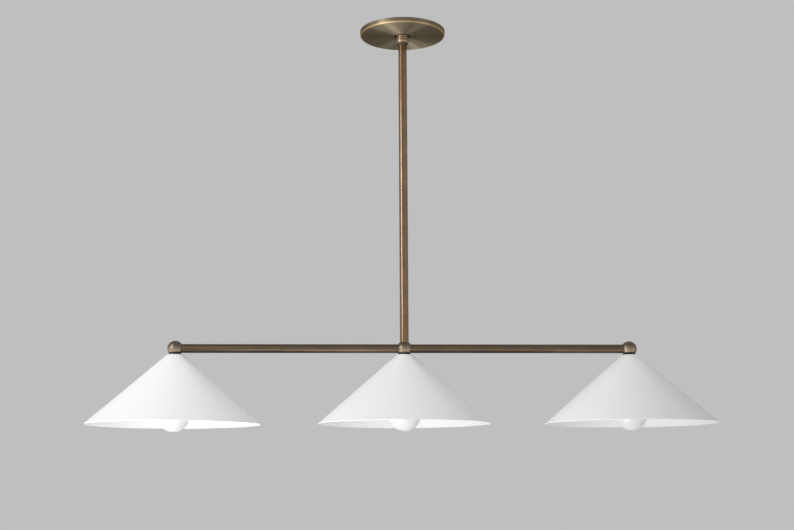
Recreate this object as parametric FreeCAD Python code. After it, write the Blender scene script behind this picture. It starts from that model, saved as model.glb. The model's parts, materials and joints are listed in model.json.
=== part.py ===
"""Linear island pendant: a canopy and stem carry a crossbar with three cone shades.

Millimetres. The origin is the centre of the ceiling-box screw pattern, in the ceiling plane and on
the stem's axis. +Z is up, +X runs along the crossbar to the right, and -Y faces the viewer.
"""
import FreeCAD, Part
import math
import os

V = FreeCAD.Vector
os.makedirs("parts", exist_ok=True)

# ---- clearances ----
running_gap = 0.05        # radial, thread or tube in its bore
free_gap = 0.3            # between curved faces of pieces that move apart
face_gap = 0.3            # between a nut and the tube end that turns below it

# ---- stem and crossbar ----
tube_d = 12.7
tube_wall = 2.0
arm_drop = 478.0          # ceiling to crossbar axis
arm_reach = 327.5         # stem axis to the axis of an outer shade
thread_d = 9.5            # pitch diameter of the lamp-pipe thread
nipple_bore_d = 7.0
tap_depth = 14.0          # tapped length at each tube end
ball_d = 22.2
ball_flat_drop = 6.5      # ball centre down to the flat that seats a shade
nipple_spacing = 0.45     # between the inner ends of two joining nipples in a ball

# ---- shades and what clamps them ----
washer_d = 17.2
washer_t = 2.2
shade_d = 249.0
shade_h = 99.3
shade_wall = 1.2
shade_crown_d = 22.0      # where the sloping wall would meet the flat crown
shade_crown_round = 3.5
nut_flats = 14.3
nut_t = 3.5

# ---- ceiling mounting ----
strap_length = 112.0
strap_width = 20.0
strap_t = 2.0
strap_rise = 8.0          # ceiling plane to the top of the raised middle
strap_middle = 60.0       # length of the raised middle
strap_ramp = 6.0          # length over which the strap steps up
strap_bend = 2.5          # inner radius of its bends
box_screw_spacing = 88.9
box_slot_length = 12.0
box_slot_width = 4.6
star_washer_t = 0.8
star_washer_d = 16.0
star_teeth = 12
nipple_stand = 3.0        # nipple end above the top nut
ground_screw_x = 20.0
ground_screw_d = 4.8
ground_head_flats = 9.0
ground_head_t = 3.5

# ---- canopy and slip collar ----
canopy_d = 127.0
canopy_h = 7.5
canopy_wall = 1.2
canopy_round = 2.5
collar_d = 18.0
collar_h = 10.0           # its straight part
collar_bead = 0.6         # how far its lower ring stands out
collar_bead_round = 0.5
collar_taper_h = 4.8      # cone below the lower ring
collar_tip_wall = 0.7     # wall at the cone's small end
groove_w = 0.8
groove_depth = 0.6
groove_drops = (2.8, 6.2)  # top of the collar down to the middle of each groove
set_screw_d = 3.0
set_screw_socket = 1.5

# ---- lamp socket, sizes counted down from the face of the clamp nut ----
hub_d = 16.0
hub_h = 2.0               # straight part of the cap's threaded hub
cap_depth = 16.5
cap_d = 34.0
cap_wall = 1.0
cap_dome = 4.5            # depth of the cap's domed shoulder
seat_t = 5.0              # insulating floor that carries contact and terminals
flange_t = 2.0
sleeve_depth = 22.0       # flange down to the mouth
sleeve_d = 31.0
shell_t = 0.4
shell_lip = 2.2           # inward lip that is riveted to the floor
shell_short = 2.0         # shell mouth above the sleeve mouth
contact_t = 0.5
contact_w = 6.0
contact_spring = 2.0      # drop of the contact's free end
terminal_y = 9.0
post_w = 5.0
post_h = 4.5
terminal_screw_d = 3.6
terminal_screw_h = 1.2
screw_slot_w = 0.6
screw_slot_depth = 0.5

# ---- bulb ----
base_d = 26.0
base_shell_t = 0.5
base_tip_d = 9.5
base_tip_h = 1.0
base_cone_h = 5.0         # insulating cone between tip and shell
base_shell_h = 20.0
cone_wall = 1.5
globe_d = 45.0
bulb_length = 86.5
glass_wall = 1.0
neck_d = 24.4
neck_in_shell = 8.0       # neck length cemented in the shell
neck_round = 12.0

# ---- leads ----
lead_d = 1.7
lead_ring = 2.0           # leads lie on this radius in the stem
lead_bend = 6.0
lead_bend_terminal = 2.5
lead_room = 1.3           # between a lead on the arm's axis and the shade nipple below it
lead_tail = 4.0           # leads stand above the ceiling nipple

# ---- places worked out from the sizes ----
tube_r = tube_d / 2
thread_r = thread_d / 2
tapped_r = thread_r + running_gap
ball_r = ball_d / 2
arm_z = -arm_drop
tube_seat = math.sqrt(ball_r ** 2 - tube_r ** 2)      # ball centre to the flat that seats a tube
nipple_start = thread_r + nipple_spacing              # ball centre to the end of a joining nipple
shade_top = arm_z - ball_flat_drop - washer_t
shade_inside_top = shade_top - shade_wall
nut_face = shade_inside_top - nut_t
canopy_face = -canopy_h
strap_top = strap_rise
strap_under = strap_rise - strap_t
stem_top = strap_under - nut_t - face_gap
stem_bottom = arm_z + tube_seat
cap_r = cap_d / 2
seat_top = nut_face - cap_depth + seat_t
seat_face = nut_face - cap_depth                      # underside of the insulating floor
mouth = seat_face - flange_t - sleeve_depth
tip_z = seat_face - contact_spring
shell_in_r = base_d / 2 + free_gap
shell_out_r = shell_in_r + shell_t
places = (("left", -arm_reach), ("centre", 0.0), ("right", arm_reach))


# ---- drawing helpers ----
def rounded_edges(corners, closed):
    """Straight edges through the corners, each (point, radius), with a tangent arc at each radius."""
    spans = []
    last = len(corners) - 1
    for i, (here, radius) in enumerate(corners):
        if radius == 0 or (not closed and i in (0, last)):
            spans.append((here, None, here))
            continue
        back = (corners[i - 1][0] - here).normalize()
        ahead = (corners[(i + 1) % len(corners)][0] - here).normalize()
        half = back.getAngle(ahead) / 2
        reach = radius / math.tan(half)
        inward = (back + ahead).normalize()
        middle = here + inward * (radius / math.sin(half) - radius)
        spans.append((here + back * reach, middle, here + ahead * reach))
    edges = []
    for i, (start, middle, end) in enumerate(spans):
        if middle is not None:
            edges.append(Part.Arc(start, middle, end).toShape())
        if i < last or closed:
            following = spans[(i + 1) % len(spans)][0]
            if end.distanceToPoint(following) > 1e-6:
                edges.append(Part.LineSegment(end, following).toShape())
    return edges


def flat_outline(corners):
    """A face in the XZ plane. A corner is (x, z), or (x, z, radius) where it is rounded."""
    points = [(V(c[0], 0, c[1]), c[2] if len(c) > 2 else 0) for c in corners]
    return Part.Face(Part.Wire(rounded_edges(points, closed=True)))


def outward(solid):
    """The same solid with its faces turned outwards."""
    if solid.Volume < 0:
        solid.reverse()
    return solid


def turned(corners):
    """A solid of revolution about Z from (radius, z) corners."""
    return outward(flat_outline(corners).revolve(V(0, 0, 0), V(0, 0, 1), 360))


def moved(shape, x=0.0, y=0.0, z=0.0):
    copy = shape.copy()
    copy.translate(V(x, y, z))
    return copy


def rod(diameter, low, high):
    """A cylinder on the Z axis between two heights."""
    return Part.makeCylinder(diameter / 2, high - low, V(0, 0, low))


def pipe(outer_d, bore_d, low, high):
    return rod(outer_d, low, high).cut(rod(bore_d, low, high))


def laid_along_x(shape, towards):
    """Turns a shape that stands on +Z about the origin so that it points along +X or -X."""
    copy = shape.copy()
    copy.rotate(V(0, 0, 0), V(0, 1, 0), 90 * towards)
    return copy


def hexagon(flats, low, high):
    """A hexagonal prism with corners chamfered by a cone at both ends."""
    corner_r = flats / math.sqrt(3)
    points = [V(corner_r * math.cos(math.radians(60 * k)), corner_r * math.sin(math.radians(60 * k)), low)
              for k in range(7)]
    prism = Part.Face(Part.makePolygon(points)).extrude(V(0, 0, high - low))
    flat_r = flats / 2
    chamfer = (corner_r - flat_r) / 2
    envelope = turned([(0, low), (flat_r, low), (corner_r, low + chamfer),
                       (corner_r, high - chamfer), (flat_r, high), (0, high)])
    return prism.common(envelope)


def slot_cutter(length, width, low, high):
    """A slot along X with round ends, centred on the Z axis."""
    half = (length - width) / 2
    block = Part.makeBox(2 * half, width, high - low, V(-half, -width / 2, low))
    ends = [moved(rod(width, low, high), x=side * half) for side in (-1, 1)]
    return block.fuse(ends)


def save(name, *solids):
    """Writes one node. Several solids in a node are identical or matched small pieces."""
    shape = solids[0] if len(solids) == 1 else Part.makeCompound(list(solids))
    for solid in shape.Solids:
        if not solid.isValid() or solid.Volume <= 0:
            raise ValueError("bad solid in " + name)
    shape.exportStep("parts/" + name + ".step")


# ---- ceiling mounting ----
def mounting_strap():
    """Hat-shaped steel strap: two slotted feet on the ceiling box, a raised tapped middle."""
    foot = strap_length / 2
    step_in = strap_middle / 2
    step_out = step_in + strap_ramp
    outer_bend = strap_bend + strap_t
    ramp_angle = math.atan2(strap_rise, strap_ramp)
    mitre = strap_t * math.tan(ramp_angle / 2)        # shift between the corners of the two faces
    right_half = [(step_in, strap_under, strap_bend), (step_out, -strap_t, outer_bend), (foot, -strap_t),
                  (foot, 0), (step_out + mitre, 0, strap_bend), (step_in + mitre, strap_top, outer_bend)]
    left_half = [(-x, *rest) for x, *rest in reversed(right_half)]
    strap = outward(flat_outline(right_half + left_half).extrude(V(0, strap_width, 0)))
    strap = moved(strap, y=-strap_width / 2)
    ends = [edge for edge in strap.Edges if abs(abs(edge.CenterOfMass.x) - foot) < 1e-3
            and abs(edge.CenterOfMass.z + strap_t / 2) < 1e-3]
    strap = strap.makeFillet(strap_width * 0.2, ends)
    for side in (-1, 1):
        cutter = slot_cutter(box_slot_length, box_slot_width, -2 * strap_t, strap_t)
        strap = strap.cut(moved(cutter, x=side * box_screw_spacing / 2))
    strap = strap.cut(rod(2 * tapped_r, strap_under - strap_t, strap_top + strap_t))
    screw_hole = rod(ground_screw_d + 2 * running_gap, strap_under - strap_t, strap_top + strap_t)
    return strap.cut(moved(screw_hole, x=ground_screw_x))


def lock_nut(low):
    return hexagon(nut_flats, low, low + nut_t).cut(rod(2 * tapped_r, low, low + nut_t))


def star_washer():
    """Toothed lock washer under the top nut."""
    low, high = strap_top, strap_top + star_washer_t
    washer = pipe(star_washer_d, 2 * tapped_r, low, high)
    notch_w = math.pi * star_washer_d / star_teeth / 2
    notch = Part.makeBox(notch_w, star_washer_d, high - low, V(-notch_w / 2, star_washer_d * 0.4, low))
    for k in range(star_teeth):
        cutter = notch.copy()
        cutter.rotate(V(0, 0, 0), V(0, 0, 1), 360 * k / star_teeth)
        washer = washer.cut(cutter)
    return washer


def ground_screw():
    """Hex-head screw with a washer face, up through the strap from below."""
    head = hexagon(ground_head_flats, strap_under - ground_head_t, strap_under)
    shank = rod(ground_screw_d, strap_under, strap_top + strap_t)
    slot = Part.makeBox(ground_head_flats * 2, screw_slot_w * 2, screw_slot_depth * 2,
                        V(-ground_head_flats, -screw_slot_w, strap_under - ground_head_t))
    return moved(head.cut(slot).fuse(shank), x=ground_screw_x)


top_nut_low = strap_top + star_washer_t
nipple_top = top_nut_low + nut_t + nipple_stand
save("mounting_strap", mounting_strap())
save("strap_lock_nuts", lock_nut(top_nut_low), lock_nut(strap_under - nut_t))
save("toothed_washer", star_washer())
save("ground_screw", ground_screw())
save("ceiling_nipple", pipe(thread_d, nipple_bore_d, stem_top - tap_depth + face_gap, nipple_top))


# ---- canopy and slip collar ----
def canopy():
    """Turned dish: its open rim meets the ceiling, its flat face looks down."""
    rim = canopy_d / 2
    hole = tube_r + free_gap + running_gap
    inside = canopy_face + canopy_wall
    return turned([(hole, canopy_face), (rim, canopy_face, canopy_round), (rim, 0),
                   (rim - canopy_wall, 0), (rim - canopy_wall, inside, canopy_round - canopy_wall),
                   (hole, inside)])


def slip_collar():
    """Grooved ring that slips on the stem and holds the canopy up, with a bead and a cone below."""
    outer, bore = collar_d / 2, tube_r + running_gap
    top, bead_low = canopy_face, canopy_face - collar_h
    bead_r, tip = outer + collar_bead, bead_low - collar_taper_h
    grooves = []
    for drop in reversed(groove_drops):
        low, high = top - drop - groove_w / 2, top - drop + groove_w / 2
        grooves += [(outer, low), (outer - groove_depth, low), (outer - groove_depth, high), (outer, high)]
    bead_top = grooves[0][1]
    ring = turned([(bore, tip), (bore + collar_tip_wall, tip), (outer, bead_low),
                   (bead_r, bead_low, collar_bead_round), (bead_r, bead_top, collar_bead_round)]
                  + grooves[1:] + [(outer, top), (bore, top)])
    return ring.cut(set_screw_body(running_gap))


def set_screw_body(clearance=0.0):
    """Cylinder of the set screw, from the stem to the back of the collar."""
    height = canopy_face - sum(groove_drops) / len(groove_drops)
    start = tube_r + running_gap
    length = collar_d / 2 - start + 2 * clearance * collar_d
    return Part.makeCylinder(set_screw_d / 2 + clearance, length, V(0, start, height), V(0, 1, 0))


def collar_set_screw():
    """Headless screw with a hexagonal socket in its outer end."""
    body = set_screw_body()
    socket = hexagon(set_screw_socket, -set_screw_socket, set_screw_socket)
    socket.rotate(V(0, 0, 0), V(1, 0, 0), 90)
    height = body.BoundBox.ZMin + body.BoundBox.ZLength / 2
    return body.cut(moved(socket, y=body.BoundBox.YMax, z=height))


save("canopy", canopy())
save("slip_collar", slip_collar())
save("collar_set_screw", collar_set_screw())


# ---- stem, arms, balls and the nipples that join them ----
def tapped_tube(low, high):
    """Tube along Z with both ends bored out for the thread."""
    tube = pipe(tube_d, tube_d - 2 * tube_wall, low, high)
    for start in (low, high - tap_depth):
        tube = tube.cut(rod(2 * tapped_r, start, start + tap_depth))
    return tube


def ball(tube_sides):
    """Ball with a flat and tapped hole below, and one of each towards every tube."""
    solid = Part.makeSphere(ball_r)
    reach = 2 * ball_r
    below = Part.makeBox(2 * reach, 2 * reach, reach, V(-reach, -reach, -reach - ball_flat_drop))
    solid = solid.cut(below).cut(rod(2 * tapped_r, -reach, 0))
    for side in tube_sides:
        beyond = Part.makeBox(2 * reach, 2 * reach, reach, V(-reach, -reach, tube_seat))
        for cutter in (beyond, rod(2 * tapped_r, 0, reach)):
            solid = solid.cut(cutter if side == "up" else laid_along_x(cutter, side))
    return solid


def joining_nipple():
    """Threaded pipe from inside a ball into a tube, standing on +Z from the ball's centre."""
    return pipe(thread_d, nipple_bore_d, nipple_start, tube_seat + tap_depth - nipple_spacing)


arm_tube = tapped_tube(tube_seat, arm_reach - tube_seat)
hub_nipples = [joining_nipple(), laid_along_x(joining_nipple(), 1), laid_along_x(joining_nipple(), -1)]
end_nipples = [moved(laid_along_x(joining_nipple(), -1), x=arm_reach),
               moved(laid_along_x(joining_nipple(), 1), x=-arm_reach)]
save("stem_tube", tapped_tube(stem_bottom, stem_top))
save("left_arm_tube", moved(laid_along_x(arm_tube, -1), z=arm_z))
save("right_arm_tube", moved(laid_along_x(arm_tube, 1), z=arm_z))
save("centre_hub", moved(ball(("up", 1, -1)), z=arm_z))
save("left_end_ball", moved(ball((1,)), x=-arm_reach, z=arm_z))
save("right_end_ball", moved(ball((-1,)), x=arm_reach, z=arm_z))
save("joining_nipples", *[moved(n, z=arm_z) for n in hub_nipples + end_nipples])


# ---- shades and their fixings ----
def cone_shade():
    """Spun cone with a small flat crown, one wall thick all over."""
    rim_r, crown_r, hole = shade_d / 2, shade_crown_d / 2, tapped_r + running_gap
    bottom = shade_top - shade_h
    slope = math.atan2(shade_h, rim_r - crown_r)
    inward = shade_wall / math.sin(slope)             # horizontal thickness of the sloping wall
    crown_in = crown_r - shade_wall * math.tan(slope / 2)
    return turned([(hole, shade_top), (crown_r, shade_top, shade_crown_round), (rim_r, bottom),
                   (rim_r - inward, bottom),
                   (crown_in, shade_inside_top, shade_crown_round - shade_wall),
                   (hole, shade_inside_top)])


def seat_washer():
    return pipe(washer_d, 2 * tapped_r, shade_top, shade_top + washer_t)


def clamp_nut():
    return hexagon(nut_flats, nut_face, shade_inside_top).cut(rod(2 * tapped_r, nut_face, shade_inside_top))


def shade_nipple():
    """Threaded pipe from the ball down through washer, shade and nut into the socket cap."""
    top = arm_z - lead_d / 2 - lead_room
    return pipe(thread_d, nipple_bore_d, nut_face - hub_h - cap_wall, top)


def socket_cap():
    """Spun cap: a tapped hub above, a domed shoulder and a skirt that grips the body."""
    hub_r = hub_d / 2
    under_hub = nut_face - hub_h
    skirt = seat_face
    inner_r = cap_r - cap_wall
    return turned([(tapped_r, nut_face), (hub_r, nut_face), (hub_r, under_hub),
                   (cap_r, under_hub - cap_dome / 2, cap_dome), (cap_r, skirt), (inner_r, skirt),
                   (inner_r, under_hub - cap_dome / 2 - cap_wall, cap_dome - cap_wall),
                   (hub_r, under_hub - cap_wall), (tapped_r, under_hub - cap_wall)])


def socket_body():
    """Insulating floor, a flange under the cap's skirt and the sleeve round the screw shell."""
    floor_r = cap_r - cap_wall - running_gap
    sleeve_in = shell_out_r + running_gap
    flange_low = seat_face - flange_t
    return turned([(0, seat_top), (floor_r, seat_top), (floor_r, seat_face), (cap_r, seat_face),
                   (cap_r, flange_low), (sleeve_d / 2, flange_low), (sleeve_d / 2, mouth),
                   (sleeve_in, mouth), (sleeve_in, seat_face), (0, seat_face)])


def screw_shell():
    """Brass shell that takes the bulb's thread, lipped where it meets the floor."""
    low = mouth + shell_short
    return turned([(shell_out_r - shell_lip, seat_face), (shell_out_r, seat_face), (shell_out_r, low),
                   (shell_in_r, low), (shell_in_r, seat_face - shell_t),
                   (shell_out_r - shell_lip, seat_face - shell_t)])


def centre_contact():
    """Sprung strip from a terminal's rivet to the middle of the socket."""
    root = shell_out_r - shell_lip - 2 * free_gap
    low = tip_z
    corners = [(root, seat_face), (root - post_w, seat_face), (base_tip_d / 2, low + contact_t),
               (-base_tip_d / 3, low + contact_t), (-base_tip_d / 3, low),
               (base_tip_d / 2, low), (root - post_w, seat_face - contact_t), (root, seat_face - contact_t)]
    strip = outward(flat_outline(corners).extrude(V(0, contact_w, 0)))
    strip = moved(strip, y=-contact_w / 2)
    strip.rotate(V(0, 0, 0), V(0, 0, 1), 90)
    return strip


def terminals():
    """Two posts on the floor, each with a slotted screw in its top."""
    pieces = []
    for side in (-1, 1):
        y = side * terminal_y
        post = Part.makeBox(post_w, post_w, post_h, V(-post_w / 2, y - post_w / 2, seat_top))
        top = seat_top + post_h
        screw = moved(rod(terminal_screw_d, top, top + terminal_screw_h), y=y)
        slot_low = top + terminal_screw_h - screw_slot_depth
        slot = Part.makeBox(terminal_screw_d * 2, screw_slot_w, screw_slot_depth,
                            V(-terminal_screw_d, y - screw_slot_w / 2, slot_low))
        pieces += [post, screw.cut(slot)]
    return pieces


save("seat_washers", *[moved(seat_washer(), x=x) for side, x in places])
save("clamp_nuts", *[moved(clamp_nut(), x=x) for side, x in places])
save("shade_nipples", *[moved(shade_nipple(), x=x) for side, x in places])
for side, x in places:
    save(side + "_shade", moved(cone_shade(), x=x))
    save(side + "_socket_cap", moved(socket_cap(), x=x))
    save(side + "_socket_body", moved(socket_body(), x=x))
    save(side + "_screw_shell", moved(screw_shell(), x=x))
    save(side + "_centre_contact", moved(centre_contact(), x=x))
    save(side + "_terminals", *[moved(piece, x=x) for piece in terminals()])


# ---- bulbs ----
base_r = base_d / 2
cone_top = tip_z - base_tip_h
shell_top = cone_top - base_cone_h
base_bottom = shell_top - base_shell_h


def glass_form(inset):
    """Neck and globe of the bulb, smaller by inset all round."""
    globe_r = globe_d / 2 - inset
    bottom = tip_z - bulb_length + inset
    centre_z = bottom + globe_r
    neck_r = neck_d / 2 - inset
    neck_end = base_bottom
    away = math.hypot(neck_r, neck_end - centre_z)
    # the side leaves the neck and runs tangent to the globe
    to_neck = math.atan2(neck_end - centre_z, neck_r)
    touch = to_neck - math.acos(globe_r / away)
    below = touch - math.pi / 2
    run = (bottom - (centre_z + globe_r * math.sin(touch))) / math.sin(below)
    knee_r = globe_r * math.cos(touch) + run * math.cos(below)
    return turned([(0, base_bottom + neck_in_shell), (neck_r, base_bottom + neck_in_shell),
                   (neck_r, neck_end, neck_round), (knee_r, bottom, globe_r), (0, bottom)])


def bulb_glass():
    """Blown glass, open at the neck where the base closes it."""
    inside = glass_form(glass_wall)
    mouth_plug = rod(neck_d - 2 * glass_wall, base_bottom, base_bottom + 2 * neck_in_shell)
    return glass_form(0.0).cut(inside).cut(mouth_plug)


def base_shell():
    return turned([(base_r, shell_top), (base_r, base_bottom), (base_r - base_shell_t, base_bottom),
                   (base_r - base_shell_t, shell_top)])


def base_insulator():
    """Cone that closes the top of the shell and carries the tip."""
    tip_r = base_tip_d / 2
    return turned([(0, cone_top), (tip_r, cone_top), (base_r, shell_top), (base_r - cone_wall, shell_top),
                   (tip_r - cone_wall, cone_top - cone_wall), (0, cone_top - cone_wall)])


def base_tip():
    tip_r = base_tip_d / 2
    return turned([(0, tip_z), (tip_r, tip_z, base_tip_h * 0.6), (tip_r, cone_top), (0, cone_top)])


for side, x in places:
    save(side + "_bulb_glass", moved(bulb_glass(), x=x))
    save(side + "_bulb_shell", moved(base_shell(), x=x))
    save(side + "_bulb_insulator", moved(base_insulator(), x=x))
    save(side + "_bulb_tip", moved(base_tip(), x=x))


# ---- leads ----
def lead(points, radii):
    """Round insulated wire along straight runs joined by arcs."""
    corners = list(zip(points, [0] + radii + [0]))
    path = Part.Wire(rounded_edges(corners, closed=False))
    start, ahead = points[0], points[1] - points[0]
    section = Part.Wire([Part.makeCircle(lead_d / 2, start, ahead)])
    return outward(path.makePipeShell([section], True, False))


def lead_route(reach, sign):
    """From above the ceiling nipple down the stem, along an arm if there is one, to a terminal post."""
    top = nipple_top + lead_tail
    ring_y = lead_ring * (math.sin(math.radians(30)) if reach else 1.0)
    ring_x = math.copysign(lead_ring * math.cos(math.radians(30)), reach) if reach else 0.0
    y = sign * ring_y
    end_y = sign * (terminal_y - post_w / 2)
    wire_z = seat_top + post_h / 2
    points = [V(ring_x, y, top)]
    radii = []
    if reach:
        points += [V(ring_x, y, arm_z), V(reach, y, arm_z)]
        radii += [lead_bend, lead_bend]
    points += [V(reach, y, wire_z), V(reach, end_y, wire_z)]
    radii += [lead_bend_terminal]
    return points, radii


for side, x in places:
    for use, sign in (("hot", -1), ("neutral", 1)):
        save(side + "_" + use + "_lead", lead(*lead_route(x, sign)))
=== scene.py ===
import json
import math

import bmesh
import bpy
from mathutils import Matrix, Vector


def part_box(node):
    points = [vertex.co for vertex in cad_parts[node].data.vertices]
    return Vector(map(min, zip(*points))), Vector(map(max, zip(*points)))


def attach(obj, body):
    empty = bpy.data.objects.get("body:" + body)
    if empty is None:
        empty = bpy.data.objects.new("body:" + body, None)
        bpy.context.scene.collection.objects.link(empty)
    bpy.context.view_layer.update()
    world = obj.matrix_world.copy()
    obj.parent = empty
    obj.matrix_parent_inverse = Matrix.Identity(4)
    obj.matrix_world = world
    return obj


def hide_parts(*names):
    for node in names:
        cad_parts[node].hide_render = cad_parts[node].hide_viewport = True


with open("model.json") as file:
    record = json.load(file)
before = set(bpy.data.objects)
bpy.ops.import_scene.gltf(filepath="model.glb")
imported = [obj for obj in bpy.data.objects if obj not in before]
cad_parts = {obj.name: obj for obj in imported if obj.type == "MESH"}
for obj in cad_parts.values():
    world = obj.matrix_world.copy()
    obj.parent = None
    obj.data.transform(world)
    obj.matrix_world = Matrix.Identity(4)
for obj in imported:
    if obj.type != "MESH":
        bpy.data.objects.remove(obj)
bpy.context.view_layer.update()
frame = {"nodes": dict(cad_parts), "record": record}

# ---- sizes in metres, read from the frame where it has them ----
MM = 0.001
ARM_Z = sum(corner.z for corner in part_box("left_arm_tube")) / 2
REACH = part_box("right_shade")[1].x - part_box("centre_shade")[1].x
PLACES = (("left", -REACH), ("centre", 0.0), ("right", REACH))
TUBE_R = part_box("stem_tube")[1].x
TUBE_WALL = 2.0 * MM
TAPPED_R = 4.8 * MM               # tapped holes that take lamp pipe
RUN_GAP = 0.05 * MM               # clearance between pieces that slide together
EDGE = 0.25 * MM                  # broken edge on turned metal
COLLAR_BEAD = 0.6 * MM            # how far the collar's bead stands out from its rings
CANOPY_ROUND = 2.5 * MM           # the canopy's rounded lower edge
SCREW_PITCH = 3.63 * MM           # thread of the sockets' and the bulbs' shells

# ---- how finely the pieces are modelled ----
ARC_STEP = math.radians(12)       # turned profiles step round their curves by this angle
SAME_POINT = 1e-7                 # corners nearer than this are one corner
CAD_WELD = 2e-6                   # the same for the faces of a CAD node
FLAT_ANGLE = math.radians(0.5)    # CAD faces that meet at less than this become one
SHARP_ANGLE = math.radians(30)    # CAD edges that are sharper than this are broken


# =====================================================================================
# Modelling tools
# =====================================================================================
def rounded(corners, closed=False):
    """Profile points (radius, height). A corner (r, z, round) becomes an arc of short steps."""
    points = []
    last = len(corners) - 1
    for i, corner in enumerate(corners):
        here = Vector(corner[:2])
        radius = corner[2] if len(corner) > 2 else 0.0
        if radius == 0.0 or (not closed and i in (0, last)):
            points.append(here)
            continue
        back = (Vector(corners[i - 1][:2]) - here).normalized()
        ahead = (Vector(corners[(i + 1) % len(corners)][:2]) - here).normalized()
        half = back.angle(ahead) / 2
        centre = here + (back + ahead).normalized() * (radius / math.sin(half))
        start = here + back * (radius / math.tan(half)) - centre
        sweep = start.angle_signed(here + ahead * (radius / math.tan(half)) - centre)
        steps = max(2, math.ceil(abs(sweep) / ARC_STEP))
        for k in range(steps + 1):
            points.append(centre + Matrix.Rotation(-sweep * k / steps, 2) @ start)
    return points


def select_only(*pieces):
    """Selects the pieces and nothing else, and makes the first one active."""
    bpy.ops.object.select_all(action="DESELECT")
    for piece in pieces:
        piece.select_set(True)
    bpy.context.view_layer.objects.active = pieces[0]


def begin_edit(piece):
    select_only(piece)
    bpy.ops.object.mode_set(mode="EDIT")
    bpy.ops.mesh.select_all(action="DESELECT")


def end_edit():
    bpy.ops.object.mode_set(mode="OBJECT")


def select_where(kind, test):
    """Selects the verts, edges or faces of the mesh in edit mode for which the test holds."""
    piece = bpy.context.edit_object
    bpy.ops.mesh.select_mode(type=kind[:-1].upper())
    bpy.ops.mesh.select_all(action="DESELECT")
    mesh = bmesh.from_edit_mesh(piece.data)
    for part in getattr(mesh, kind):
        if test(part):
            part.select_set(True)
    mesh.select_flush_mode()
    bmesh.update_edit_mesh(piece.data)


def named_in_place(name):
    """Names the object just made and moves its place into its mesh, so it sits at the origin."""
    piece = bpy.context.object
    select_only(piece)
    bpy.ops.object.transform_apply(location=True, rotation=True, scale=True)
    piece.name = piece.data.name = name
    return piece


def modify(piece, kind, **settings):
    select_only(piece)
    modifier = piece.modifiers.new(kind.lower(), kind)
    for key, value in settings.items():
        setattr(modifier, key, value)
    bpy.ops.object.modifier_apply(modifier=modifier.name)


def smooth(piece, degrees=32):
    select_only(piece)
    bpy.ops.object.shade_smooth_by_angle(angle=math.radians(degrees))
    return piece


def turned(name, profile, segments=96, closed=True, poles=(False, False)):
    """A piece turned about Z: a ring of edges is extruded and scaled along the profile.

    closed joins the last ring to the first; poles closes the first or last ring to a point.
    """
    rings = [point for i, point in enumerate(profile)
             if i == 0 or (point - profile[i - 1]).length > SAME_POINT]
    if closed and (rings[0] - rings[-1]).length > SAME_POINT:
        rings.append(rings[0])
    bpy.ops.mesh.primitive_circle_add(vertices=segments, radius=rings[0].x, fill_type="NOTHING",
                                      location=(0, 0, rings[0].y))
    piece = named_in_place(name)
    begin_edit(piece)
    bpy.ops.mesh.select_all(action="SELECT")
    for before, after in zip(rings, rings[1:]):
        ratio = after.x / before.x
        step = (0, 0, after.y - before.y)
        bpy.ops.mesh.extrude_region_move(TRANSFORM_OT_translate={"value": step})
        bpy.ops.transform.resize(value=(ratio, ratio, 1), center_override=(0, 0, after.y))
    if poles[1]:
        bpy.ops.mesh.extrude_region_move()
        bpy.ops.mesh.merge(type="CENTER")
    if poles[0]:
        select_where("verts", lambda v: v.index < segments)
        bpy.ops.mesh.extrude_region_move()
        bpy.ops.mesh.merge(type="CENTER")
    bpy.ops.mesh.select_all(action="SELECT")
    if closed:
        bpy.ops.mesh.remove_doubles(threshold=SAME_POINT)
    bpy.ops.mesh.normals_make_consistent(inside=False)
    end_edit()
    return smooth(piece)


def moved(piece, x=0.0, z=0.0):
    piece.data.transform(Matrix.Translation((x, 0, z)))
    return piece


def laid_along_x(piece, towards):
    """Turns a piece that stands on +Z so that it points along +X (towards 1) or -X (-1)."""
    piece.data.transform(Matrix.Rotation(math.radians(90 * towards), 4, "Y"))
    return piece


def copy_of(piece, name):
    """A second piece with its own mesh."""
    twin = piece.copy()
    twin.data = piece.data.copy()
    twin.name = twin.data.name = name
    bpy.context.scene.collection.objects.link(twin)
    return twin


def joined(name, *pieces):
    select_only(*pieces)
    bpy.ops.object.join()
    whole = bpy.context.object
    whole.name = whole.data.name = name
    return whole


def softened(name, width):
    """A copy of a CAD node with its flat faces whole again and its edges broken."""
    piece = copy_of(frame["nodes"][name], name + "_detailed")
    for key in list(piece.keys()):
        del piece[key]
    piece.parent = None
    piece.data.materials.clear()
    begin_edit(piece)
    if piece.data.has_custom_normals:
        bpy.ops.mesh.customdata_custom_splitnormals_clear()
    bpy.ops.mesh.select_all(action="SELECT")
    bpy.ops.mesh.remove_doubles(threshold=CAD_WELD)
    bpy.ops.mesh.dissolve_limited(angle_limit=FLAT_ANGLE)
    end_edit()
    modify(piece, "BEVEL", width=width, segments=2, limit_method="ANGLE",
           angle_limit=SHARP_ANGLE, use_clamp_overlap=True)
    return smooth(piece)


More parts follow.
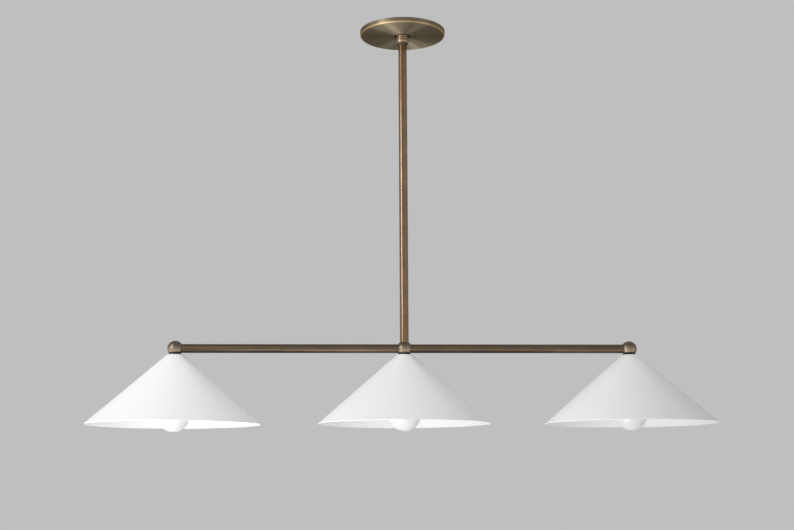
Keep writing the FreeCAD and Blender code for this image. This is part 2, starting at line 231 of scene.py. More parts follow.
def thread_ridge(name, radius, depth, pitch, low, high, segments, sides):
    """A helical ridge about Z whose middle line lies at the radius."""
    turns = max(1, int((high - low) / pitch))
    bpy.ops.mesh.primitive_circle_add(vertices=sides, radius=depth, fill_type="NOTHING",
                                      rotation=(math.pi / 2, 0, 0), location=(radius, 0, low))
    ridge = named_in_place(name)
    modify(ridge, "SCREW", axis="Z", angle=2 * math.pi, screw_offset=pitch, iterations=turns,
           steps=segments, render_steps=segments, use_merge_vertices=False)
    begin_edit(ridge)
    bpy.ops.mesh.select_all(action="SELECT")
    bpy.ops.mesh.remove_doubles(threshold=SAME_POINT)
    select_where("edges", lambda e: e.is_boundary)
    bpy.ops.mesh.edge_face_add()
    bpy.ops.mesh.select_all(action="SELECT")
    bpy.ops.mesh.normals_make_consistent(inside=False)
    end_edit()
    return smooth(ridge, degrees=50)


# =====================================================================================
# Shader nodes
# =====================================================================================
def new_material(name):
    """An empty node material: the material, its node tree and its Principled shader."""
    material = bpy.data.materials.new(name)
    material.use_nodes = True
    tree = material.node_tree
    return material, tree, tree.nodes["Principled BSDF"]


def set_inputs(made, **values):
    """Sets a node's inputs. An underscore in a name stands for a space."""
    for name, value in values.items():
        made.inputs[name.replace("_", " ")].default_value = value


def node(tree, kind, **settings):
    made = tree.nodes.new("ShaderNode" + kind)
    for key, value in settings.items():
        setattr(made, key, value)
    return made


def object_point(tree):
    return node(tree, "TexCoord").outputs["Object"]


def stretched(tree, point, scale):
    mapping = node(tree, "Mapping")
    set_inputs(mapping, Scale=scale)
    tree.links.new(point, mapping.inputs["Vector"])
    return mapping.outputs[0]


def noise(tree, point, scale, detail, roughness=0.5):
    made = node(tree, "TexNoise")
    set_inputs(made, Scale=scale, Detail=detail, Roughness=roughness)
    tree.links.new(point, made.inputs["Vector"])
    return made.outputs["Fac"]


def ramp(tree, factor, *stops):
    """Colour ramp between two (position, colour) stops."""
    made = node(tree, "ValToRGB")
    for element, (position, colour) in zip(made.color_ramp.elements, stops):
        element.position = position
        element.color = (*colour, 1)
    tree.links.new(factor, made.inputs["Fac"])
    return made.outputs["Color"]


def remap(tree, value, low, high):
    """Goes evenly from low to high while the value goes from 0 to 1."""
    made = node(tree, "MapRange")
    set_inputs(made, To_Min=low, To_Max=high)
    tree.links.new(value, made.inputs["Value"])
    return made.outputs["Result"]


def eased(tree, value, start, end, low, high):
    """Goes smoothly from low to high while the value goes from start to end."""
    made = node(tree, "MapRange", interpolation_type="SMOOTHSTEP")
    set_inputs(made, From_Min=start, From_Max=end, To_Min=low, To_Max=high)
    tree.links.new(value, made.inputs["Value"])
    return made.outputs["Result"]


def arithmetic(tree, operation, a, b):
    made = node(tree, "Math", operation=operation)
    for value, socket in zip((a, b), made.inputs):
        if isinstance(value, (int, float)):
            socket.default_value = value
        else:
            tree.links.new(value, socket)
    return made.outputs[0]


def weighted_sum(tree, *terms):
    """Adds up (value, weight) terms."""
    parts = [arithmetic(tree, "MULTIPLY", value, weight) for value, weight in terms]
    total = parts[0]
    for part in parts[1:]:
        total = arithmetic(tree, "ADD", total, part)
    return total


def bump(tree, shader, height, strength, distance):
    made = node(tree, "Bump")
    set_inputs(made, Strength=strength, Distance=distance)
    tree.links.new(height, made.inputs["Height"])
    tree.links.new(made.outputs["Normal"], shader.inputs["Normal"])


def height_of(tree, point):
    split = node(tree, "SeparateXYZ")
    tree.links.new(point, split.inputs[0])
    return split.outputs["Z"]


def from_axis(tree, point):
    """The point's offset from the Z axis and how long it is."""
    outward = node(tree, "VectorMath", operation="MULTIPLY")
    outward.inputs[1].default_value = (1, 1, 0)
    tree.links.new(point, outward.inputs[0])
    length = node(tree, "VectorMath", operation="LENGTH")
    tree.links.new(outward.outputs[0], length.inputs[0])
    return outward.outputs[0], length.outputs["Value"]


def tinted(tree, factor, colour):
    """Lays a colour over the shader's base colour, as far as the factor says."""
    base = tree.nodes["Principled BSDF"].inputs["Base Color"]
    mix = node(tree, "Mix", data_type="RGBA")
    factor_in, below_in, above_in = mix.inputs[0], mix.inputs[6], mix.inputs[7]
    above_in.default_value = (*colour, 1)
    tree.links.new(factor, factor_in)
    tree.links.new(base.links[0].from_socket, below_in)
    tree.links.new(mix.outputs[2], base)


def mixed_shaders(tree, factor, first, second):
    """Goes from the first node's shader to the second node's as the factor goes from 0 to 1."""
    blend = node(tree, "MixShader")
    for socket, source in zip(blend.inputs, (factor, first.outputs[0], second.outputs[0])):
        tree.links.new(source, socket)
    return blend.outputs[0]


def across_grain(tree, shader, direction):
    """Points the tangent across the brush marks, so that highlights spread that way."""
    to_world = node(tree, "VectorTransform", vector_type="VECTOR", convert_from="OBJECT",
                    convert_to="WORLD")
    tree.links.new(direction, to_world.inputs[0])
    tree.links.new(to_world.outputs[0], shader.inputs["Tangent"])


# =====================================================================================
# Brass: pieces differ in the direction of their brush marks, in their patina and in painted shade
# and highlights
# =====================================================================================
ALONG_X, ALONG_Z = (1, 0, 0), (0, 0, 1)


def brush_marks(tree, shader, point, grain):
    """Spreads highlights across the brush marks and gives a point that changes only that way."""
    if grain != "radius":
        direction = node(tree, "CombineXYZ")
        for socket, value in zip(direction.inputs, grain):
            socket.default_value = value
        across_grain(tree, shader, direction.outputs[0])
        return stretched(tree, point, grain)
    outward, radius = from_axis(tree, point)
    unit = node(tree, "VectorMath", operation="NORMALIZE")
    tree.links.new(outward, unit.inputs[0])
    over_edge = node(tree, "VectorMath", operation="ADD")
    over_edge.inputs[1].default_value = ALONG_Z
    tree.links.new(unit.outputs[0], over_edge.inputs[0])
    across_grain(tree, shader, over_edge.outputs[0])
    across = node(tree, "CombineXYZ")
    tree.links.new(radius, across.inputs[0])
    return across.outputs[0]


def aged_brass(name, grain, patina, brass, roughness, brushing, lacquer=0.0, polish=0.2):
    """Brushed brass under a brown patina.

    grain is the direction across the brush marks: along a tube, or "radius" on a turned face.
    lacquer is how much of the surface is waxed, and polish is how rough the wax is.
    """
    material, tree, shader = new_material(name)
    point = object_point(tree)
    lines = brush_marks(tree, shader, point, grain)
    fine = noise(tree, lines, scale=5200, detail=2)
    broad = noise(tree, lines, scale=900, detail=2)
    clouds = noise(tree, point, scale=38, detail=4, roughness=0.6)
    wear = weighted_sum(tree, (fine, 0.45), (broad, 0.25), (clouds, 0.3))
    tree.links.new(ramp(tree, wear, (0.33, patina), (0.68, brass)), shader.inputs["Base Color"])
    tree.links.new(remap(tree, wear, roughness + 0.06, roughness - 0.05),
                   shader.inputs["Roughness"])
    set_inputs(shader, Metallic=1.0, Anisotropic=brushing, Specular_Tint=(0.5, 0.45, 0.4, 1),
               Coat_Weight=lacquer, Coat_Roughness=polish, Coat_IOR=1.7)
    bump(tree, shader, fine, strength=0.12, distance=0.04 * MM)
    return material


def stem_brass():
    return aged_brass("aged_brass_stem", ALONG_Z, patina=(0.105, 0.053, 0.019),
                      brass=(0.31, 0.17, 0.064), roughness=0.36, brushing=0.93,
                      lacquer=1.0, polish=0.16)


# The arms' brass is darker than the stem's: that darkness is painted shade.
def arm_brass():
    return aged_brass("aged_brass_arm", ALONG_X, patina=(0.075, 0.048, 0.027),
                      brass=(0.2, 0.13, 0.072), roughness=0.46, brushing=0.94, lacquer=0.4)


def ball_brass():
    """Painted shade darkens the balls towards their tops, and a dark line above their seat
    washers is a painted shadow.
    """
    material = aged_brass("aged_brass_ball", ALONG_Z, patina=(0.175, 0.124, 0.076),
                          brass=(0.41, 0.296, 0.184), roughness=0.42, brushing=0.4,
                          lacquer=0.8, polish=0.55)
    tree = material.node_tree
    height = height_of(tree, object_point(tree))
    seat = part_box("centre_hub")[0].z
    # Painted shade: the balls are darker towards their tops.
    upper = eased(tree, height, ARM_Z - 1.5 * MM, ARM_Z + 5.5 * MM, low=0.0, high=0.8)
    tinted(tree, upper, (0.06, 0.042, 0.028))
    # Painted shadow: a dark line just above the seat washers.
    line = eased(tree, height, seat + 0.5 * MM, seat + 2.0 * MM, low=0.9, high=0.0)
    tinted(tree, line, (0.015, 0.01, 0.007))
    return material


def collar_brass():
    """Patina stays in the collar's grooves, and the same dark colour on its cone is painted
    shade. Its raised rings are worn bright, which also paints their highlight.
    """
    # The dark colours are patina in the grooves and painted shade on the cone.
    material = aged_brass("aged_brass_collar", ALONG_Z, patina=(0.045, 0.028, 0.017),
                          brass=(0.1, 0.064, 0.038), roughness=0.42, brushing=0.85, lacquer=0.5)
    tree = material.node_tree
    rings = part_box("slip_collar")[1].x - COLLAR_BEAD
    radius = from_axis(tree, object_point(tree))[1]
    # Wear and a painted highlight: the raised rings are brightened.
    wear_and_highlight = eased(tree, radius, rings - 0.35 * MM, rings - 0.05 * MM, low=0.0, high=1.0)
    tinted(tree, wear_and_highlight, (0.62, 0.44, 0.29))
    return material


def canopy_brass():
    """The turned dish: a painted shadow round the collar, and its rounded edge brightened as wear
    and a painted highlight.
    """
    low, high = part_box("canopy")
    material = aged_brass("aged_brass_canopy", "radius", patina=(0.205, 0.18, 0.14),
                          brass=(0.39, 0.315, 0.2), roughness=0.6, brushing=0.95)
    tree = material.node_tree
    point = object_point(tree)
    radius = from_axis(tree, point)[1]
    # Painted shadow: a dark ring round the collar.
    painted_collar_shadow = eased(tree, radius, 11.3 * MM, 13.0 * MM, low=0.85, high=0.0)
    tinted(tree, painted_collar_shadow, (0.03, 0.02, 0.012))
    height = height_of(tree, point)
    # Wear and a painted highlight: the rounded edge is brightened.
    outside = arithmetic(tree, "SUBTRACT", radius, high.x - CANOPY_ROUND)
    below = arithmetic(tree, "SUBTRACT", low.z + CANOPY_ROUND, height)
    round_edge = arithmetic(tree, "MULTIPLY",
                            arithmetic(tree, "DIVIDE", outside, CANOPY_ROUND),
                            arithmetic(tree, "DIVIDE", below, CANOPY_ROUND))
    wear_and_highlight = eased(tree, round_edge, 0.12, 0.42, low=0.0, high=1.0)
    tinted(tree, wear_and_highlight, (0.85, 0.62, 0.34))
    return material


# =====================================================================================
# The other finishes
# =====================================================================================
def plain_metal(name, dark, light, roughness, mottling):
    """Plated or bright metal with a soft mottle and hairline wear."""
    material, tree, shader = new_material(name)
    point = object_point(tree)
    mottle = noise(tree, point, scale=mottling, detail=4, roughness=0.6)
    hairs = noise(tree, stretched(tree, point, (1, 1, 9)), scale=700, detail=3)
    wear = weighted_sum(tree, (mottle, 0.65), (hairs, 0.35))
    tree.links.new(ramp(tree, wear, (0.35, dark), (0.65, light)), shader.inputs["Base Color"])
    tree.links.new(remap(tree, wear, roughness + 0.1, roughness - 0.06),
                   shader.inputs["Roughness"])
    set_inputs(shader, Metallic=1.0)
    bump(tree, shader, hairs, strength=0.1, distance=0.04 * MM)
    return material


def moulded(name, dark, light, roughness, grain_scale, strength, coat, gloss):
    """Moulded, painted or extruded non-metal with a faint colour drift and surface grain."""
    material, tree, shader = new_material(name)
    point = object_point(tree)
    drift = noise(tree, point, scale=60, detail=3)
    grain = noise(tree, point, scale=grain_scale, detail=3)
    tree.links.new(ramp(tree, drift, (0.35, dark), (0.65, light)), shader.inputs["Base Color"])
    tree.links.new(remap(tree, grain, roughness + 0.05, roughness - 0.05),
                   shader.inputs["Roughness"])
    set_inputs(shader, Specular_IOR_Level=gloss, Coat_Weight=coat, Coat_Roughness=0.08)
    bump(tree, shader, grain, strength, distance=0.05 * MM)
    return material


def white_enamel():
    """Sprayed white paint on spun metal: orange peel and the ghost of the spinning rings."""
    material, tree, shader = new_material("white_enamel")
    point = object_point(tree)
    peel = noise(tree, point, scale=650, detail=2)
    drift = noise(tree, point, scale=9, detail=3)
    rings = noise(tree, stretched(tree, point, ALONG_Z), scale=420, detail=1)
    white = ramp(tree, drift, (0.3, (0.845, 0.845, 0.842)), (0.7, (0.862, 0.863, 0.863)))
    tree.links.new(white, shader.inputs["Base Color"])
    tree.links.new(remap(tree, peel, 0.44, 0.36), shader.inputs["Roughness"])
    surface = weighted_sum(tree, (peel, 0.8), (rings, 0.2))
    bump(tree, shader, surface, strength=0.06, distance=0.12 * MM)
    return material


def opal_glass():
    """White coated glass: satin outside, softly translucent."""
    material, tree, shader = new_material("opal_glass")
    point = object_point(tree)
    drift = noise(tree, point, scale=45, detail=3)
    white = ramp(tree, drift, (0.3, (0.83, 0.83, 0.822)), (0.7, (0.855, 0.855, 0.85)))
    tree.links.new(white, shader.inputs["Base Color"])
    haze = noise(tree, point, scale=500, detail=2)
    tree.links.new(remap(tree, haze, 0.36, 0.28), shader.inputs["Roughness"])
    set_inputs(shader, Subsurface_Weight=0.15, Subsurface_Radius=(4 * MM, 4 * MM, 4 * MM),
               Subsurface_Scale=1.0)
    return material


# slot: dark and light colour, roughness, scale of the mottle
METALS = {
    "zinc_steel": ((0.36, 0.36, 0.35), (0.62, 0.61, 0.58), 0.36, 240),
    "ground_green": ((0.03, 0.16, 0.06), (0.06, 0.27, 0.1), 0.38, 300),
    "cap_brass": ((0.4, 0.29, 0.12), (0.56, 0.42, 0.2), 0.3, 160),
    "shell_brass": ((0.55, 0.42, 0.2), (0.75, 0.6, 0.33), 0.24, 160),
    "contact_brass": ((0.5, 0.37, 0.17), (0.7, 0.54, 0.27), 0.3, 160),
    "bulb_base": ((0.5, 0.5, 0.49), (0.76, 0.76, 0.74), 0.25, 160),
    "solder": ((0.3, 0.3, 0.31), (0.55, 0.55, 0.56), 0.42, 900),
}
# slot: dark and light colour, roughness, scale and strength of the grain, coat, gloss
MOULDED = {
    "dark_washer": ((0.008, 0.006, 0.005), (0.018, 0.014, 0.012), 0.6, 1800, 0.25, 0.0, 0.15),
    "phenolic": ((0.012, 0.01, 0.009), (0.028, 0.022, 0.019), 0.3, 1300, 0.12, 0.2, 0.5),
    "bulb_insulator": ((0.01, 0.01, 0.013), (0.02, 0.02, 0.026), 0.12, 900, 0.05, 0.4, 0.5),
    "black_insulation": ((0.012, 0.012, 0.012), (0.025, 0.025, 0.026), 0.4, 1500, 0.15, 0.0, 0.5),
    "white_insulation": ((0.68, 0.67, 0.63), (0.78, 0.77, 0.73), 0.4, 1500, 0.15, 0.0, 0.5),
}
FINISHES = {"white_enamel": white_enamel(), "opal_glass": opal_glass()}
for finish_slot, look in METALS.items():
    FINISHES[finish_slot] = plain_metal(finish_slot, *look)
for finish_slot, look in MOULDED.items():
    FINISHES[finish_slot] = moulded(finish_slot, *look)
STEM_BRASS = stem_brass()
ARM_BRASS = arm_brass()
BALL_BRASS = ball_brass()
COLLAR_BRASS = collar_brass()
CANOPY_BRASS = canopy_brass()

SLOT_OF = {row["node"]: row["material_slot"] for row in frame["record"]["subparts"]}
BODY_OF = {name: body
           for body, members in frame["record"]["behaviour"]["bodies"].items()
           for name in members}


def finished(piece, stands_for, finish=None):
    """Gives a new piece its finish and its body, and hides the CAD node that it stands for."""
    slot = SLOT_OF[stands_for]
    piece.data.materials.clear()
    piece.data.materials.append(finish or FINISHES[slot])
    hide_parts(stands_for)
    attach(piece, BODY_OF[stands_for])


# =====================================================================================
# Pieces that several places share
# =====================================================================================
def heights(name):
    """Lowest and highest z of a CAD node."""
    low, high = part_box(name)
    return low.z, high.z


def centre_box(piece):
    """Outer radius and lowest and highest z of a turned piece of the centre lamp."""
    low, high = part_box("centre_" + piece)
    return high.x, low.z, high.z


def at_each_lamp(first, piece, detail):
    """Three pieces like the first, one at each lamp. The first one goes."""
    for side, x in PLACES:
        finished(moved(copy_of(first, f"{side}_{piece}_{detail}"), x=x), f"{side}_{piece}")
    bpy.data.objects.remove(first)


def grouped_at_lamps(first, name, stands_for):
    """One piece that holds a copy of the first at each lamp. The first one goes."""
    copies = [moved(copy_of(first, f"{first.name}_{side}"), x=x) for side, x in PLACES]
    bpy.data.objects.remove(first)
    finished(joined(name, *copies), stands_for)


def threaded_pipe(name, low, high):
    """Lamp pipe: a tube with a fine helical thread all along."""
    outer, bore, depth, pitch = 4.75 * MM, 3.5 * MM, 0.26 * MM, 0.94 * MM
    root = outer - 2 * depth
    profile = rounded([(bore, low, EDGE), (root, low, EDGE), (root, high, EDGE),
                       (bore, high, EDGE)], closed=True)
    tube = turned(name + "_tube", profile, segments=48)
    ridge = thread_ridge(name + "_ridge", root, 1.9 * depth, pitch, low + pitch / 2,
                         high - pitch / 2, segments=36, sides=4)
    return joined(name, tube, ridge)


# =====================================================================================
# Canopy, collar and the mounting above them
# =====================================================================================
def make_canopy():
    low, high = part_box("canopy")
    rim, face, top = high.x, low.z, high.z
    wall, lip = 1.2 * MM, 0.3 * MM
    hole = TUBE_R + 0.35 * MM
    profile = rounded([
        (hole, face, EDGE), (rim, face, CANOPY_ROUND), (rim, top, lip),
        (rim - wall, top, lip), (rim - wall, face + wall, CANOPY_ROUND - wall),
        (hole, face + wall, EDGE)], closed=True)
    finished(turned("canopy_dish", profile, segments=160), "canopy", CANOPY_BRASS)


def make_collar():
    """The grooved ring with its bead and the cone below it."""
    low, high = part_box("slip_collar")
    bead_r, bore = high.x, TUBE_R + RUN_GAP
    outer, top, tip = bead_r - COLLAR_BEAD, high.z, low.z
    tip_wall = 0.7 * MM
    bead_low, lower_groove, upper_groove = top - 10.0 * MM, top - 6.2 * MM, top - 2.8 * MM
    half_groove, depth, bead_round = 0.4 * MM, 0.6 * MM, 0.5 * MM
    grooves = []
    for middle in (lower_groove, upper_groove):
        grooves += [(outer, middle - half_groove, EDGE), (outer - depth, middle - half_groove),
                    (outer - depth, middle + half_groove), (outer, middle + half_groove, EDGE)]
    bead_high = lower_groove - half_groove       # the bead runs into the lower groove
    profile = rounded([
        (bore, tip), (bore + tip_wall, tip, EDGE), (outer, bead_low),
        (bead_r, bead_low, bead_round), (bead_r, bead_high, bead_round),
        *grooves[1:], (outer, top, EDGE), (bore, top)], closed=True)
    finished(turned("slip_collar_ring", profile), "slip_collar", COLLAR_BRASS)
    finished(softened("collar_set_screw", 0.1 * MM), "collar_set_screw", COLLAR_BRASS)


def make_mounting():
    for name, edge in (("mounting_strap", 0.3 * MM), ("strap_lock_nuts", 0.15 * MM),
                       ("toothed_washer", 0.1 * MM), ("ground_screw", 0.15 * MM)):
        finished(softened(name, edge), name)
    nipple = threaded_pipe("ceiling_nipple_threaded", *heights("ceiling_nipple"))
    finished(nipple, "ceiling_nipple")


# =====================================================================================
# Stem, arms and balls
# =====================================================================================
def plain_tube(name, low, high):
    bore = TUBE_R - TUBE_WALL
    return turned(name, rounded([(bore, low), (TUBE_R, low, EDGE), (TUBE_R, high, EDGE),
                                 (bore, high)], closed=True))


def make_tubes():
    finished(plain_tube("stem_tube_brushed", *heights("stem_tube")), "stem_tube", STEM_BRASS)
    low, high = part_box("right_arm_tube")
    for side, towards in (("left", -1), ("right", 1)):
        tube = laid_along_x(plain_tube(side + "_arm_tube_brushed", low.x, high.x), towards)
        finished(moved(tube, z=ARM_Z), side + "_arm_tube", ARM_BRASS)


def make_ball(name, side_directions):
    """A turned ball with a flat and a tapped hole towards each tube and towards the shade."""
    low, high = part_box("centre_hub")
    radius, below = high.y, ARM_Z - low.z
    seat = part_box("right_arm_tube")[0].x
    flat_rim, tap_depth, on_flat = 0.15 * MM, 3.5 * MM, 1e-6
    bpy.ops.mesh.primitive_uv_sphere_add(segments=96, ring_count=64, radius=radius)
    ball = named_in_place(name)
    cuts = [(Vector((0, 0, -1)), below)] + [(Vector(d), seat) for d in side_directions]
    for direction, distance in cuts:
        begin_edit(ball)
        bpy.ops.mesh.select_all(action="SELECT")
        bpy.ops.mesh.bisect(plane_co=direction * distance, plane_no=direction, use_fill=True,
                            clear_outer=True)
        end_edit()
        begin_edit(ball)
        select_where("faces", lambda f: f.normal.dot(direction) > 0.999
                     and f.calc_center_median().dot(direction) > distance - on_flat)
        flat_r = math.sqrt(radius ** 2 - distance ** 2)
        bpy.ops.mesh.inset(thickness=flat_rim)
        bpy.ops.mesh.inset(thickness=flat_r - flat_rim - TAPPED_R)
        bpy.ops.mesh.extrude_region_move(
            TRANSFORM_OT_translate={"value": direction * -tap_depth})
        end_edit()
    return smooth(ball, degrees=28)


def make_balls():
    up, right, left = (0, 0, 1), (1, 0, 0), (-1, 0, 0)
    balls = (("left_end_ball", -REACH, [right]), ("centre_hub", 0.0, [up, right, left]),
             ("right_end_ball", REACH, [left]))
    for name, x, side_directions in balls:
        ball = make_ball(name + "_turned", side_directions)
        finished(moved(ball, x=x, z=ARM_Z), name, BALL_BRASS)


def make_inner_nipples():
    """The five joining nipples in the balls and the three that carry the shades."""
    inner_end = 5.2 * MM                         # from the ball's centre
    outer_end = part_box("joining_nipples")[1].z - ARM_Z
    first = threaded_pipe("joining_nipple", inner_end, outer_end)
    pieces = [moved(copy_of(first, "up"), z=ARM_Z)]
    for x, towards in ((0, 1), (0, -1), (REACH, -1), (-REACH, 1)):
        pieces.append(moved(laid_along_x(copy_of(first, "side"), towards), x=x, z=ARM_Z))
    bpy.data.objects.remove(first)
    finished(joined("joining_nipples_threaded", *pieces), "joining_nipples")
    grouped_at_lamps(threaded_pipe("shade_nipple", *heights("shade_nipples")),
                     "shade_nipples_threaded", "shade_nipples")


# =====================================================================================
# Shades and the pieces that clamp them
# =====================================================================================
def make_shades():
    """Spun cones with a small flat crown round the shade nipple's hole."""
    rim, bottom, top = centre_box("shade")
    wall, crown, crown_round = 1.2 * MM, 11.0 * MM, 3.5 * MM
    hole, hole_round, rim_round = TAPPED_R + RUN_GAP, 0.3 * MM, 0.5 * MM
    slope = math.atan2(top - bottom, rim - crown)
    rim_in = rim - wall / math.sin(slope)
    crown_in = crown - wall * math.tan(slope / 2)
    profile = rounded([
        (hole, top, hole_round), (crown, top, crown_round), (rim, bottom, rim_round),
        (rim_in, bottom, rim_round), (crown_in, top - wall, crown_round - wall),
        (hole, top - wall, hole_round)], closed=True)
    at_each_lamp(turned("shade", profile, segments=192), "shade", "spun")


def make_washers_and_nuts():
    low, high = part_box("seat_washers")
    outer, edge_round = high.x - REACH, 0.4 * MM
    profile = rounded([(TAPPED_R, low.z), (outer, low.z, edge_round),
                       (outer, high.z, edge_round), (TAPPED_R, high.z)], closed=True)
    grouped_at_lamps(turned("seat_washer", profile, segments=72),
                     "seat_washers_turned", "seat_washers")
    finished(softened("clamp_nuts", 0.15 * MM), "clamp_nuts")


# =====================================================================================
# Lamp sockets
# =====================================================================================
def make_socket_caps():
    """A hub on the nipple, a domed shoulder and a skirt with a rolled bead above its mouth."""
    outer, mouth, top = centre_box("socket_cap")
    wall, hub, hub_h, dome = 1.0 * MM, 8.0 * MM, 2.0 * MM, 4.5 * MM
    bead, bead_round = 0.35 * MM, 0.3 * MM
    under_hub = top - hub_h
    shoulder = under_hub - dome / 2
    skirt = outer - bead
    profile = rounded([
        (TAPPED_R, top), (hub, top, EDGE), (hub, under_hub), (skirt, shoulder, dome),
        (skirt, mouth + 2.4 * MM), (outer, mouth + 2.0 * MM, bead_round),
        (outer, mouth + 1.0 * MM, bead_round), (skirt, mouth + 0.6 * MM),
        (skirt, mouth), (outer - wall, mouth), (outer - wall, shoulder - wall, dome - wall),
        (hub, under_hub - wall), (TAPPED_R, under_hub - wall)], closed=True)
    at_each_lamp(turned("cap", profile), "socket_cap", "spun")


def make_socket_bodies():
    """A floor inside the cap, a flange below its skirt and a sleeve round the screw shell."""
    outer, mouth, top = centre_box("socket_body")
    shell_r, _, seat = centre_box("screw_shell")
    sleeve, floor_r, flange = 15.5 * MM, outer - 1.05 * MM, seat - 2.0 * MM
    bore = shell_r + RUN_GAP
    profile = rounded([
        (floor_r, top, 0.4 * MM), (floor_r, seat), (outer, seat, 0.3 * MM),
        (outer, flange, 0.5 * MM), (sleeve, flange, 0.3 * MM), (sleeve, mouth, 0.8 * MM),
        (bore, mouth, 0.4 * MM), (bore, seat)])
    body = turned("body", profile, closed=False, poles=(True, True))
    at_each_lamp(body, "socket_body", "moulded")


def make_screw_shells():
    """Thin brass shells with a lip on the floor and a rolled thread inside."""
    outer, mouth, top = centre_box("screw_shell")
    wall, lip, ridge_depth = 0.4 * MM, 2.2 * MM, 0.2 * MM
    shell_r = outer - 0.02 * MM                  # just clear of the sleeve
    bore = shell_r - wall
    profile = rounded([
        (outer - lip, top), (shell_r, top, 0.3 * MM), (shell_r, mouth), (bore, mouth),
        (bore, top - wall), (outer - lip, top - wall)], closed=True)
    shell = turned("shell_wall", profile, segments=72)
    ridge = thread_ridge("shell_ridge", bore, ridge_depth, SCREW_PITCH, mouth + SCREW_PITCH / 2,
                         top - SCREW_PITCH, segments=60, sides=8)
    at_each_lamp(joined("shell", shell, ridge), "screw_shell", "rolled")


def make_small_socket_parts():
    for side, _ in PLACES:
        for piece, edge in (("_centre_contact", 0.12 * MM), ("_terminals", 0.18 * MM)):
            finished(softened(side + piece, edge), side + piece)


# =====================================================================================
# Bulbs
# =====================================================================================
def make_bulb_shells():
    """Thin shells with a plain skirt below their rolled thread."""
    outer, bottom, top = centre_box("bulb_shell")
    root, skirt_r, skirt_top = outer - 0.9 * MM, outer - 0.1 * MM, bottom + 3.5 * MM
    inside = root - 0.5 * MM
    profile = rounded([
        (root, top, EDGE), (root, skirt_top + 1.0 * MM), (skirt_r, skirt_top, 0.3 * MM),
        (skirt_r, bottom, EDGE), (root - 0.1 * MM, bottom), (inside, skirt_top),
        (inside, top)], closed=True)
    shell = turned("base_wall", profile, segments=72)
    ridge = thread_ridge("base_ridge", root - 0.2 * MM, 1.08 * MM, SCREW_PITCH,
                         skirt_top + 1.4 * MM, top - 0.9 * MM, segments=60, sides=10)
    at_each_lamp(joined("base", shell, ridge), "bulb_shell", "rolled")


def make_bulb_glasses():
    """A neck that runs tangent into a globe."""
    bottom, top = heights("centre_bulb_glass")
    globe, neck, neck_round, glass_wall = 22.5 * MM, 12.2 * MM, 12.0 * MM, 1.0 * MM
    neck_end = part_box("centre_bulb_shell")[0].z
    centre_z = bottom + globe
    to_neck = math.atan2(neck_end - centre_z, neck)
    touch = to_neck - math.acos(globe / math.hypot(neck, neck_end - centre_z))
    below = touch - math.pi / 2
    run = (bottom - centre_z - globe * math.sin(touch)) / math.sin(below)
    knee = globe * math.cos(touch) + run * math.cos(below)
    profile = rounded([(neck, top), (neck, neck_end, neck_round), (knee, bottom, globe),
                       (0.0, bottom)])
    outline = [point for point in profile if point.x > 0.6 * MM]      # a pole closes the rest
    glass = turned("glass", outline, closed=False, poles=(False, True))
    modify(glass, "SOLIDIFY", thickness=glass_wall, offset=-1.0)
    at_each_lamp(smooth(glass, degrees=60), "bulb_glass", "blown")


def make_bulb_ends():
    """The insulator above the shell and the solder tip on it."""
    tip_r, tip_low, tip_high = centre_box("bulb_tip")
    outer, low, high = centre_box("bulb_insulator")
    wall = 1.5 * MM
    profile = rounded([
        (tip_r, high), (outer - 0.5 * MM, low + 0.3 * MM, 1.2 * MM), (outer - 0.9 * MM, low),
        (outer - wall, low), (tip_r - wall, high - wall)])
    insulator = turned("insulator", profile, segments=72, closed=False, poles=(True, True))
    at_each_lamp(insulator, "bulb_insulator", "pressed")

    crown_round = 0.62 * (tip_high - tip_low)
    profile = rounded([(0.8 * MM, tip_high), (tip_r, tip_high, crown_round), (tip_r, tip_low)])
    tip = turned("tip", profile, segments=48, closed=False, poles=(True, True))
    at_each_lamp(tip, "bulb_tip", "soldered")


# =====================================================================================
# Leads stay as the CAD pieces and get their insulation's finish
# =====================================================================================
def finish_leads():
    for side, _ in PLACES:
        for use in ("hot", "neutral"):
            lead = frame["nodes"][f"{side}_{use}_lead"]
            lead.data.materials.clear()
            lead.data.materials.append(FINISHES[SLOT_OF[lead.name]])


make_canopy()
make_collar()
make_mounting()
make_tubes()
make_balls()
make_inner_nipples()
make_shades()
make_washers_and_nuts()
make_socket_caps()
make_socket_bodies()
make_screw_shells()
make_bulb_shells()
make_small_socket_parts()
make_bulb_glasses()
make_bulb_ends()
finish_leads()

# =====================================================================================
# Studio: floor, backdrop colour, lamps and camera
# =====================================================================================
BACKDROP = (0.521, 0.521, 0.521, 1)   # the photograph's even grey
AMBIENT = (0.3, 0.3, 0.3, 1)
FLOOR_GREY = (0.62, 0.62, 0.62, 1)
FLOOR_Z = -3.4
FLOOR_R = 9.0
FLOOR_FADE = (2.5, 8.0)               # the radii between which the floor fades
LAMPS_FACE = Vector((0, 0, -0.45))

# name, azimuth and elevation in degrees, distance, width and height in metres, power in watts,
# and whether shiny pieces mirror it
LAMPS = (
    ("upper_left", -40, 55, 1.9, 1.6, 1.6, 4.4, False),
    ("high_left", -65, 30, 1.8, 0.9, 0.9, 0.8, True),
    ("left", -58, 17, 1.4, 0.33, 0.7, 6.9, True),
    ("far_left", -95, -20, 1.8, 0.9, 0.9, 5.8, True),
    ("low_left", -56, -43, 1.9, 0.7, 0.7, 10.6, True),
    ("low_front", 0, -35, 3.0, 1.6, 1.6, 13.5, True),
    ("low_right", 60, -30, 2.2, 1.4, 1.4, 7.5, True),
    ("right", 45, 20, 3.6, 2.0, 2.0, 3.4, True),
    ("left_strip", -48, -46, 1.0, 0.9, 0.2, 3.4, True),
    ("over_left_shade", -50, 72, 1.0, 1.2, 1.2, 4.9, False),
    ("behind", 150, 60, 1.5, 1.2, 1.2, 1.2, True),
)


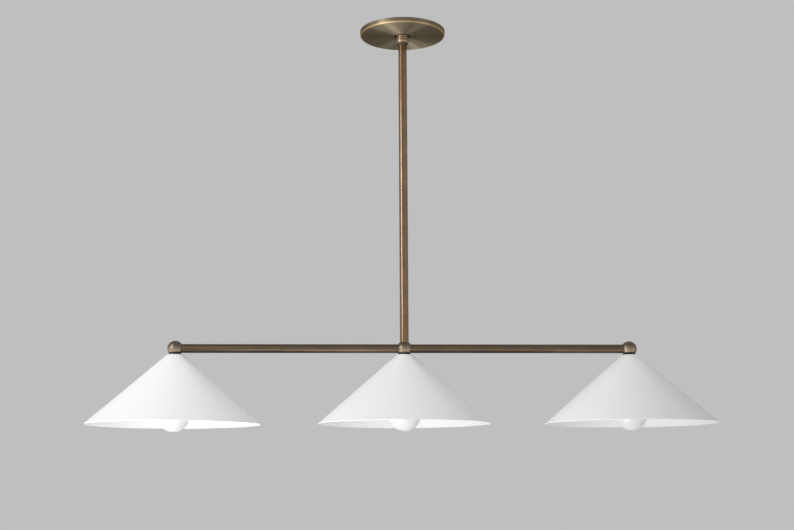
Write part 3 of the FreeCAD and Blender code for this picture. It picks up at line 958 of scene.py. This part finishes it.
def make_floor():
    """A large pale disc well below the pendant, whose rim fades into the backdrop colour."""
    bpy.ops.mesh.primitive_circle_add(vertices=128, radius=FLOOR_R, fill_type="NGON",
                                      location=(0, 0, FLOOR_Z))
    floor = named_in_place("studio_floor")
    material, tree, shader = new_material("studio_floor")
    radius = from_axis(tree, object_point(tree))[1]
    fade = eased(tree, radius, *FLOOR_FADE, low=0.0, high=1.0)
    set_inputs(shader, Base_Color=FLOOR_GREY, Roughness=0.9, Specular_IOR_Level=0.1)
    glow = node(tree, "Emission")
    set_inputs(glow, Color=BACKDROP)
    tree.links.new(mixed_shaders(tree, fade, shader, glow),
                   tree.nodes["Material Output"].inputs["Surface"])
    floor.data.materials.append(material)


def make_world():
    """Even backdrop grey for the camera and for reflections, softer light for the rest."""
    world = bpy.data.worlds.new("studio")
    bpy.context.scene.world = world
    world.use_nodes = True
    tree = world.node_tree
    tree.nodes.clear()
    rays = node(tree, "LightPath").outputs
    seen = arithmetic(tree, "MAXIMUM", rays["Is Camera Ray"], rays["Is Glossy Ray"])
    seen = arithmetic(tree, "MAXIMUM", seen, rays["Is Transmission Ray"])
    shown, lighting = node(tree, "Background"), node(tree, "Background")
    set_inputs(shown, Color=BACKDROP)
    set_inputs(lighting, Color=AMBIENT)
    tree.links.new(mixed_shaders(tree, seen, lighting, shown),
                   node(tree, "OutputWorld").inputs["Surface"])


def make_lamp(name, azimuth, elevation, distance, width, height, power, mirrored):
    """A soft box that faces the pendant. Azimuth 0 is in front of it, negative to the left.

    One that is not mirrored lights the shades but leaves no highlight on the brass.
    """
    a, e = math.radians(azimuth), math.radians(elevation)
    away = Vector((math.sin(a) * math.cos(e), -math.cos(a) * math.cos(e), math.sin(e)))
    light = bpy.data.lights.new(name, "AREA")
    light.shape = "RECTANGLE"
    light.size, light.size_y, light.energy = width, height, power
    lamp = bpy.data.objects.new(name, light)
    lamp.location = LAMPS_FACE + away * distance
    lamp.rotation_euler = away.to_track_quat("Z", "Y").to_euler()
    lamp.visible_camera = False
    lamp.visible_glossy = mirrored
    bpy.context.scene.collection.objects.link(lamp)


def make_camera():
    """The photograph's view, slightly below the crossbar and a little to the left."""
    azimuth, aside, pitch, roll = (math.radians(d) for d in (-3.653, 0.307, 9.779, -0.309))
    distance, height = 1.8649, -0.677
    focal_px, frame_px, sensor_mm = 1299.0, 794.0, 36.0
    turn = azimuth + aside
    forward = Vector((-math.sin(turn) * math.cos(pitch), math.cos(turn) * math.cos(pitch),
                      math.sin(pitch)))
    level = Vector((math.cos(turn), math.sin(turn), 0))
    upright = level.cross(forward)
    right = math.cos(roll) * level + math.sin(roll) * upright
    up = math.cos(roll) * upright - math.sin(roll) * level
    camera = bpy.data.objects.new("camera", bpy.data.cameras.new("camera"))
    bpy.context.scene.collection.objects.link(camera)
    place = Vector((math.sin(azimuth) * distance, -math.cos(azimuth) * distance, height))
    rotation = Matrix((right, up, -forward)).transposed()
    camera.matrix_world = Matrix.Translation(place) @ rotation.to_4x4()
    camera.data.sensor_width = sensor_mm
    camera.data.lens = focal_px / frame_px * sensor_mm
    camera.data.clip_end = 50
    bpy.context.scene.camera = camera


make_floor()
make_world()
for lamp_row in LAMPS:
    make_lamp(*lamp_row)
make_camera()
bpy.context.scene.view_settings.view_transform = "Standard"
